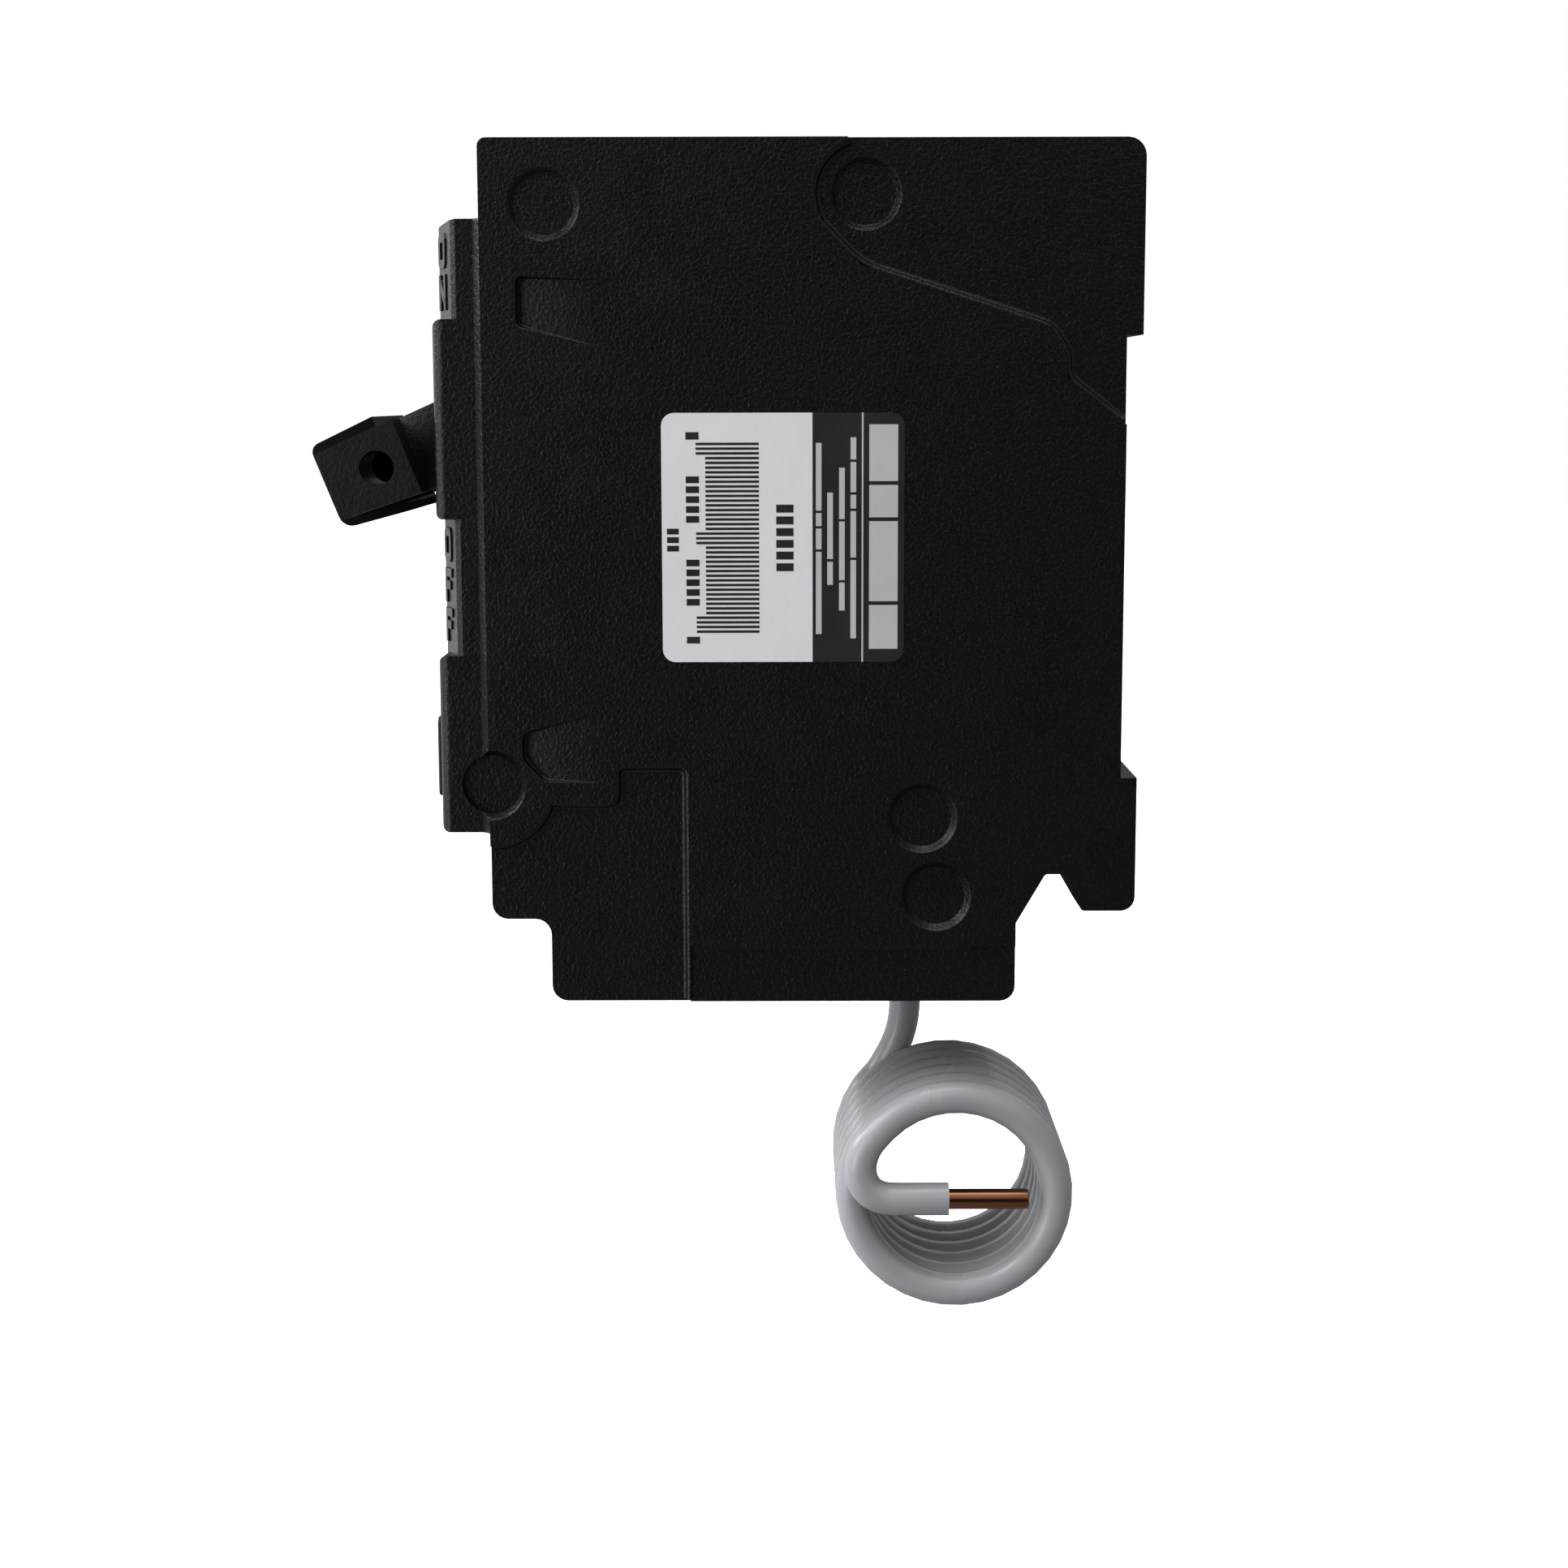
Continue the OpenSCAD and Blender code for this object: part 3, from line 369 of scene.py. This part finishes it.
def coil_point(angle):
    a = math.radians(angle)
    return at(COIL_X + COIL_PITCH * (angle - COIL_FROM) / 360, COIL_Y + COIL_R * math.cos(a),
              COIL_Z + COIL_R * math.sin(a))


# Two points of the coil at either end steer the curve that joins it there, and are then cut off
coil_in = [coil_point(COIL_FROM + COIL_STEP), coil_point(COIL_FROM + 2 * COIL_STEP)]
coil_out = [coil_point(COIL_TO - COIL_STEP), coil_point(COIL_TO)]
route = smooth_path([at(*p) for p in LEAD] + coil_in, CURVE_STEPS)[:-2 * CURVE_STEPS]
route += [coil_point(a) for a in range(COIL_FROM + COIL_STEP, COIL_TO + 1, COIL_STEP)]
route += smooth_path(coil_out + [at(*p) for p in TAIL], CURVE_STEPS)[CURVE_STEPS + 1:]
verts, faces = swept(route, [CORD_R * MM] * len(route), CORD_SIDES)
pigtail = add_mesh("pigtail", verts, faces, MATERIALS["cord_white"], "case")
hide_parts("pigtail_lead", "pigtail_coil", "pigtail_tail")
verts, faces = swept([at(TAIL_X, y, TAIL_Z) for y, _ in COPPER], [r * MM for _, r in COPPER],
                     CORD_SIDES)
copper = add_mesh("pigtail_copper_end", verts, faces, MATERIALS["bare_copper"], "case")
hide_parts("pigtail_copper")


# ---------------------------------------------------------------- mouldings

for node, width in (("right_cover", 0.4), ("left_cover", 0.4), ("centre_case", 0.3),
                    ("handle_right", 0.1), ("handle_left", 0.1), ("handle_tie", 0.15),
                    ("test_button", 0.2), ("pigtail_clamp", 0.1)):
    refined(node, width)

# Each step round a set-in panel gets a moulding of its own, with a rounded head and foot
SKIN = 0.002         # how far it stays inside the side face and above the panel's floor
ROOT = 0.05          # how far it reaches down into the floor
BACK = 0.06          # how far it reaches back into the wall
QUARTER = [math.radians(90 * k / ROUND_STEPS) for k in range(ROUND_STEPS + 1)]


def eased(corners):
    """A (y, z) path with its corners rounded; a third number is how far a round reaches."""
    path = []
    for i, corner in enumerate(corners):
        p = Vector(corner[:2])
        if len(corner) < 3:
            path.append(p)
            continue
        start = p + (Vector(corners[i - 1][:2]) - p).normalized() * corner[2]
        stop = p + (Vector(corners[i + 1][:2]) - p).normalized() * corner[2]
        for k in range(ROUND_STEPS + 1):
            t = k / ROUND_STEPS
            path.append(start * (1 - t) ** 2 + p * (2 * t * (1 - t)) + stop * t ** 2)
    return path


def step_profile(drop, head, foot):
    """Section of a step of this drop, with a rounded head and foot: (distance from the wall, x)."""
    top, floor = HALF_W - SKIN, HALF_W - drop + SKIN
    under = HALF_W - drop - ROOT
    return ([(-BACK, under), (-BACK, top)]
            + [(head * math.sin(a), top - head * (1 - math.cos(a))) for a in QUARTER]
            + [(head + foot * (1 - math.cos(a)), floor + foot * (1 - math.sin(a))) for a in QUARTER]
            + [(head + foot, under)])


def step_moulding(name, corners, depth, hand, head, foot, outward):
    """The rounded head and foot of a panel's step, along the step. depth(y) is how far the panel
    is set in, hand is the side of the path on which it lies, head and foot are shares of the
    depth, and outward is the side of the breaker, 1 or -1."""
    path = eased(corners)
    rings = []
    for i, p in enumerate(path):
        t = tangent(path, i)
        across = Vector((-t.y, t.x)) * hand
        drop = depth(p.x)
        rings.append([at(outward * x, p.x + across.x * d, p.y + across.y * d)
                      for d, x in step_profile(drop, head * drop, foot * drop)])
    add_mesh(name, sum(rings, []), skinned(len(rings), len(rings[0])), MATERIALS["case_black"],
             "case")


def on_circle(y, z, radius, first, last, count):
    """Points of an arc from one angle to another, in degrees."""
    angles = [math.radians(first + (last - first) * k / count) for k in range(count + 1)]
    return [(y + radius * math.cos(a), z + radius * math.sin(a)) for a in angles]


# Edges of the panels, as (y, z). Two of them end in an arc round a round recess
LINE_STEP = [(-2.3, 64.9), (-8.3, 69.6, 1.2), (-8.3, 72.2, 1.1), (-10.1, 75.05, 1.2),
             (-30.8, 81.7, 2.2)] + on_circle(-30.3, 89.3, 5.8, 215, 110, 14)
STRIP_STEP = [(-49.93, 0.3), (-49.93, 26.95, 1.2), (-58.05, 26.95, 1.1), (-58.05, 22.7, 1.1),
              (-63.4, 22.7)] + on_circle(-72, 24.8, 6.9, -17, -88, 10)
LOAD_STEP = [(-49.5, 6.37), (-18.3, 6.37)]
UPPER_GRIP = [(-60.3, 80.15), (-68.5, 80.8, 1.1), (-68.5, 75.1, 0.8), (-60.3, 73.25)]
LOWER_GRIP = [(-60.3, 32.73), (-68.6, 30.8, 1.1), (-68.6, 27.6, 0.8), (-66.2, 25.1, 0.8),
              (-60.3, 25.1)]
GRIP_Y, GRIP_SLOPE = -59.6, 1.3 / 9.1       # where a grip's floor leaves the side face, and its slope


def whole_step(y):
    return 1.0


def half_step(y):
    return 0.5


def grip_floor(y):
    return GRIP_SLOPE * (GRIP_Y - y)


# (name, path, depth, side of the path, head, foot)
STEPS = (("line_step_", LINE_STEP, whole_step, -1, 0.40, 0.45),
         ("strip_step_", STRIP_STEP, whole_step, 1, 0.40, 0.45),
         ("load_step_", LOAD_STEP, half_step, -1, 0.40, 0.45),
         ("upper_grip_edge_", UPPER_GRIP, grip_floor, 1, 0.2, 0.3),
         ("lower_grip_edge_", LOWER_GRIP, grip_floor, 1, 0.2, 0.3))
for side, label in SIDES:
    for name, *shape in STEPS:
        step_moulding(name + label, *shape, outward=side)


# ---------------------------------------------------------------- springs

helix_spring("test_spring_coil", (0, -76.4, 25.35), (0, -67.9, 25.35), radius=2.2, wire=0.5, turns=7,
             body="case", node="test_spring")
for side, label in SIDES:
    helix_spring("toggle_coil_" + label, (side * 15.35, -46, 64.6), (side * 15.35, -49.31, 74.56),
                 radius=1.05, wire=0.34, turns=14, body="arm_" + label, node="toggle_spring_" + label)


# ---------------------------------------------------------------- label

FILM_X, PRINT_X = HALF_W + 0.09, HALF_W + 0.105         # tops of the film and of the print
LABEL_Y0, LABEL_Y1, LABEL_Z0, LABEL_Z1 = -52.66, -26.05, 38.59, 65.88
LABEL_SPLIT = -36.12                                    # y where white meets black
LABEL_R = 1.4
RULE_Y0, RULE_Y1 = -30.72, -30.54                       # a light line down the black part
BAR_TOP, BAR_FOOT, BAR_COUNT = 62.66, 41.59, 41
BAR_PITCH = (BAR_TOP - BAR_FOOT) / BAR_COUNT
TALL_BARS = (*range(3), *range(19, 22), *range(BAR_COUNT - 4, BAR_COUNT))
BAR_WIDTH = 0.55                                        # share of the pitch
BAR_Y, SHORT_BAR_Y, TALL_BAR_Y = -41.98, -47.85, -48.9
BLOCK_GAP = 0.32                                        # share of a block of size 1
# (y of the two edges, top, bottom, sizes of the blocks)
DARK_ROWS = ((-50.0, -48.55, 63.8, 62.6, [1]), (-50.0, -48.55, 59.0, 53.6, [1] * 5),
             (-50.0, -48.55, 49.9, 44.5, [1] * 5), (-50.0, -48.55, 41.4, 40.3, [1]),
             (-52.1, -50.8, 53.3, 50.5, [1] * 3), (-40.1, -38.2, 55.9, 48.2, [1] * 6))
LIGHT_ROWS = ((-31.95, -31.33, 63.2, 40.9, [3, 4, 2, 6, 10]), (-33.2, -32.58, 59.9, 44.0, [7, 8, 4]),
              (-34.5, -33.88, 57.2, 46.8, [8, 3]), (-35.75, -35.13, 62.6, 41.4, [9, 2, 3, 11]),
              (-29.9, -26.75, 64.6, 39.6, [5, 3, 7, 4]))


def rounded_corner(y, z, start):
    """Points of a label corner's quarter circle, from the angle start in degrees."""
    angles = [math.radians(start + 90 * k / ROUND_STEPS) for k in range(ROUND_STEPS + 1)]
    return [(y + LABEL_R * math.cos(a), z + LABEL_R * math.sin(a)) for a in angles]


def rect(y0, y1, z0, z1):
    return [(y0, z0), (y1, z0), (y1, z1), (y0, z1)]


def row(y0, y1, z_top, z_bottom, blocks):
    """A line of plain blocks in place of lettering, from z_top down."""
    step = (z_top - z_bottom) / sum(blocks)
    made, z = [], z_top
    for size in blocks:
        made.append(rect(y0, y1, z - (size - BLOCK_GAP) * step, z))
        z -= size * step
    return made


def plates(name, outlines, x0, x1, material):
    """Flat plates of these (y, z) outlines, from x0 to x1, in one piece."""
    verts, faces = [], []
    for outline in outlines:
        faces += [tuple(len(verts) + i for i in face) for face in skinned(2, len(outline))]
        verts += [at(x, y, z) for x in (x0, x1) for y, z in outline]
    return add_mesh(name, verts, faces, material, "case", smooth=False)


in_y0, in_y1 = LABEL_Y0 + LABEL_R, LABEL_Y1 - LABEL_R
in_z0, in_z1 = LABEL_Z0 + LABEL_R, LABEL_Z1 - LABEL_R
white_part = ([(LABEL_SPLIT, LABEL_Z0), (LABEL_SPLIT, LABEL_Z1)]
              + rounded_corner(in_y0, in_z1, 90) + rounded_corner(in_y0, in_z0, 180))
black_part = ([(LABEL_SPLIT, LABEL_Z1), (LABEL_SPLIT, LABEL_Z0)]
              + rounded_corner(in_y1, in_z0, 270) + rounded_corner(in_y1, in_z1, 0))
film = plates("label_white", [white_part], HALF_W, FILM_X, MATERIALS["label_film"])
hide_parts("rating_label")
plates("label_black", [black_part], HALF_W, FILM_X, INK_BLACK)

dark_print = []
for i in range(BAR_COUNT):
    top = BAR_TOP - i * BAR_PITCH
    end = TALL_BAR_Y if i in TALL_BARS else SHORT_BAR_Y
    dark_print.append(rect(end, BAR_Y, top - BAR_WIDTH * BAR_PITCH, top))
for dark_row in DARK_ROWS:
    dark_print += row(*dark_row)
plates("label_print_dark", dark_print, FILM_X, PRINT_X, INK_BLACK)

light_print = [rect(RULE_Y0, RULE_Y1, LABEL_Z0, LABEL_Z1)]
for light_row in LIGHT_ROWS:
    light_print += row(*light_row)
plates("label_print_light", light_print, FILM_X, PRINT_X, INK_WHITE)


# ---------------------------------------------------------------- raised lettering

STROKE = 1.03                   # width of a stroke
LETTER_X = 18.4                 # left edge of the letters
LETTER_W, LETTER_H = 2.66, 2.82         # between the middle lines of the outer strokes
LETTER_RISE, LETTER_SINK, LETTER_EASE = 0.25, 0.15, 0.04
MITRE_LIMIT = 0.35              # keeps the corner of a sharp bend from running out to a spike
END = 0.19                      # how far an open stroke runs past those lines, as a share
GLYPHS = {                      # strokes: (points, whether it closes on itself)
    "O": [([(0, 0.12), (0, 0.88), (0.12, 1), (0.88, 1), (1, 0.88), (1, 0.12), (0.88, 0), (0.12, 0)],
           True)],
    "N": [([(0, -END), (0, 1 + END)], False), ([(0, 0.94), (1, 0.06)], False),
          ([(1, -END), (1, 1 + END)], False)],
    "F": [([(0, -END), (0, 1), (1 + END, 1)], False), ([(0, 0.5), (0.92, 0.5)], False)],
}
# The right pole's pads slant back from a fold to the side of the escutcheon
FOLD_X, FOLD_Y = 17.6, -77.5
PAD_SIDE_X, PAD_SIDE_Y = 24.4, -75.35
SLANT = Vector((PAD_SIDE_X - FOLD_X, PAD_SIDE_Y - FOLD_Y)).normalized()


def pad_face(x, z, h):
    """A point h above the slanted face of the right pole's pads."""
    share = (x - FOLD_X) / (PAD_SIDE_X - FOLD_X)
    return at(x + SLANT.y * h, FOLD_Y + share * (PAD_SIDE_Y - FOLD_Y) - SLANT.x * h, z)


def ribbon(points, closed, half):
    """Left and right edges of a stroke with mitred corners."""
    n = len(points)
    left, right = [], []
    for i, p in enumerate(points):
        before = points[i - 1] if closed or i > 0 else None
        after = points[(i + 1) % n] if closed or i < n - 1 else None
        d0 = (p - before).normalized() if before else (after - p).normalized()
        d1 = (after - p).normalized() if after else d0
        n0, n1 = Vector((-d0.y, d0.x)), Vector((-d1.y, d1.x))
        mitre = (n0 + n1).normalized()
        reach = half / max(MITRE_LIMIT, mitre.dot(n0))
        left.append(p + mitre * reach)
        right.append(p - mitre * reach)
    return left, right


def lettering(name, words):
    """Upright raised letters on the right pole's pads. words is [(letter, height of its top)]."""
    verts, faces = [], []
    for letter, top in words:
        foot = top - STROKE / 2 - LETTER_H
        for points, closed in GLYPHS[letter]:
            placed = [Vector((LETTER_X + STROKE / 2 + LETTER_W * x, foot + LETTER_H * y))
                      for x, y in points]
            left, right = ribbon(placed, closed, STROKE / 2)
            top_left, top_right = ribbon(placed, closed, STROKE / 2 - LETTER_EASE)
            first, n = len(verts), len(placed)
            for k in range(n):
                verts += [pad_face(*left[k], -LETTER_SINK), pad_face(*right[k], -LETTER_SINK),
                          pad_face(*top_left[k], LETTER_RISE), pad_face(*top_right[k], LETTER_RISE)]
            for k in range(n if closed else n - 1):
                a, b = first + 4 * k, first + 4 * ((k + 1) % n)
                faces += [(a, b, b + 2, a + 2), (a + 2, b + 2, b + 3, a + 3),
                          (a + 3, b + 3, b + 1, a + 1), (a + 1, b + 1, b, a)]
            if not closed:
                last = first + 4 * (n - 1)
                faces += [(first, first + 2, first + 3, first + 1), (last, last + 1, last + 3, last + 2)]
    add_mesh(name, verts, faces, MATERIALS["case_black"], "case")


lettering("letters_on", [("O", 85.44), ("N", 80.95)])
lettering("letters_off", [("O", 53.28), ("F", 48.75), ("F", 44.3)])


# ---------------------------------------------------------------- stage, in metres

# (name, place, what it points at, diameter, watts)
LAMPS = (("front_light", (-0.05, -0.9, 0.4), (0, -0.05, -0.02), 0.6, 7.5),
         ("side_light", (0.55, -0.75, 0.55), (0.02, -0.04, -0.02), 0.4, 2.2),
         ("low_light", (0.93, -0.42, -0.07), (0.02, -0.05, -0.03), 0.3, 0.07),
         ("level_light", (0.6, -0.75, -0.15), (0, -0.03, -0.09), 0.4, 1.5),
         ("top_light", (0.1, -0.1, 1.0), (0, -0.04, -0.02), 0.8, 3.6))
for name, place, aim, size, power in LAMPS:
    data = bpy.data.lights.new(name, "AREA")
    data.shape = "DISK"
    data.size = size
    data.energy = power
    lamp = bpy.data.objects.new(name, data)
    lamp.location = place
    lamp.rotation_euler = (Vector(aim) - Vector(place)).to_track_quat("-Z", "Y").to_euler()
    bpy.context.scene.collection.objects.link(lamp)


def graded(tree, source, inputs):
    """A smooth change of a value, over the ranges that inputs gives."""
    change = tree.nodes.new("ShaderNodeMapRange")
    change.interpolation_type = "SMOOTHSTEP"
    put(change, inputs)
    tree.links.new(source, change.inputs["Value"])
    return change.outputs["Result"]


# The camera sees a plain white room. For light and reflections, the room is bright in front of the
# breaker and above it, and dim straight out from its sides
BRIGHT_TOWARD = (-0.10, -0.72, 0.68)
world = bpy.data.worlds.new("studio")
bpy.context.scene.world = world
world.use_nodes = True
room = world.node_tree
room.nodes.clear()
seen = room.nodes.new("ShaderNodeBackground")
put(seen, {"Color": (1, 1, 1, 1), "Strength": 1.0})
fill = room.nodes.new("ShaderNodeBackground")
put(fill, {"Color": (0.96, 0.97, 1.0, 1)})
toward = room.nodes.new("ShaderNodeTexCoord").outputs["Generated"]
toward_bright = room.nodes.new("ShaderNodeVectorMath")
toward_bright.operation = "DOT_PRODUCT"
toward_bright.inputs[1].default_value = BRIGHT_TOWARD
room.links.new(toward, toward_bright.inputs[0])
split = room.nodes.new("ShaderNodeSeparateXYZ")
room.links.new(toward, split.inputs["Vector"])
sideways = room.nodes.new("ShaderNodeMath")
sideways.operation = "ABSOLUTE"
room.links.new(split.outputs["X"], sideways.inputs[0])
level = room.nodes.new("ShaderNodeMath")
level.operation = "MULTIPLY"
room.links.new(graded(room, toward_bright.outputs["Value"],
                      {"From Min": -0.6, "From Max": 1.0, "To Min": 0.3, "To Max": 1.4}),
               level.inputs[0])
room.links.new(graded(room, sideways.outputs["Value"],
                      {"From Min": 0.84, "From Max": 0.99, "To Min": 1.0, "To Max": 0.06}),
               level.inputs[1])
room.links.new(level.outputs["Value"], fill.inputs["Strength"])
ray = room.nodes.new("ShaderNodeLightPath")
mix = room.nodes.new("ShaderNodeMixShader")
room.links.new(ray.outputs["Is Camera Ray"], mix.inputs["Fac"])
room.links.new(fill.outputs["Background"], mix.inputs[1])
room.links.new(seen.outputs["Background"], mix.inputs[2])
out = room.nodes.new("ShaderNodeOutputWorld")
room.links.new(mix.outputs["Shader"], out.inputs["Surface"])

# The floor glows a little, to be as pale as the room, and sends no light back to the breaker
FLOOR_Z = -0.19
FLOOR_RADII = (0.5, 1.0, 2.0, 4.0)
FLOOR_SIDES = 48
floor_verts = [(0, 0, FLOOR_Z)]
for radius in FLOOR_RADII:
    for k in range(FLOOR_SIDES):
        a = 2 * math.pi * k / FLOOR_SIDES
        floor_verts.append((radius * math.cos(a), radius * math.sin(a), FLOOR_Z))
floor_faces = [(0, 1 + k, 1 + (k + 1) % FLOOR_SIDES) for k in range(FLOOR_SIDES)]
for ring in range(len(FLOOR_RADII) - 1):
    for k in range(FLOOR_SIDES):
        a, b = 1 + ring * FLOOR_SIDES + k, 1 + ring * FLOOR_SIDES + (k + 1) % FLOOR_SIDES
        floor_faces.append((a, b, b + FLOOR_SIDES, a + FLOOR_SIDES))
floor_mesh = bpy.data.meshes.new("floor")
floor_mesh.from_pydata(floor_verts, [], floor_faces)
floor_material = surface("floor_pale", (0.9, 0.9, 0.9), 0.8, spread=0.01, mottle=3)
put(floor_material.node_tree.nodes["Principled BSDF"],
    {"Emission Color": (1, 1, 1, 1), "Emission Strength": 0.62})
floor_mesh.materials.append(floor_material)
floor = bpy.data.objects.new("floor", floor_mesh)
bpy.context.scene.collection.objects.link(floor)
floor.visible_diffuse = False
floor.visible_glossy = False

bpy.context.scene.view_settings.view_transform = "Standard"
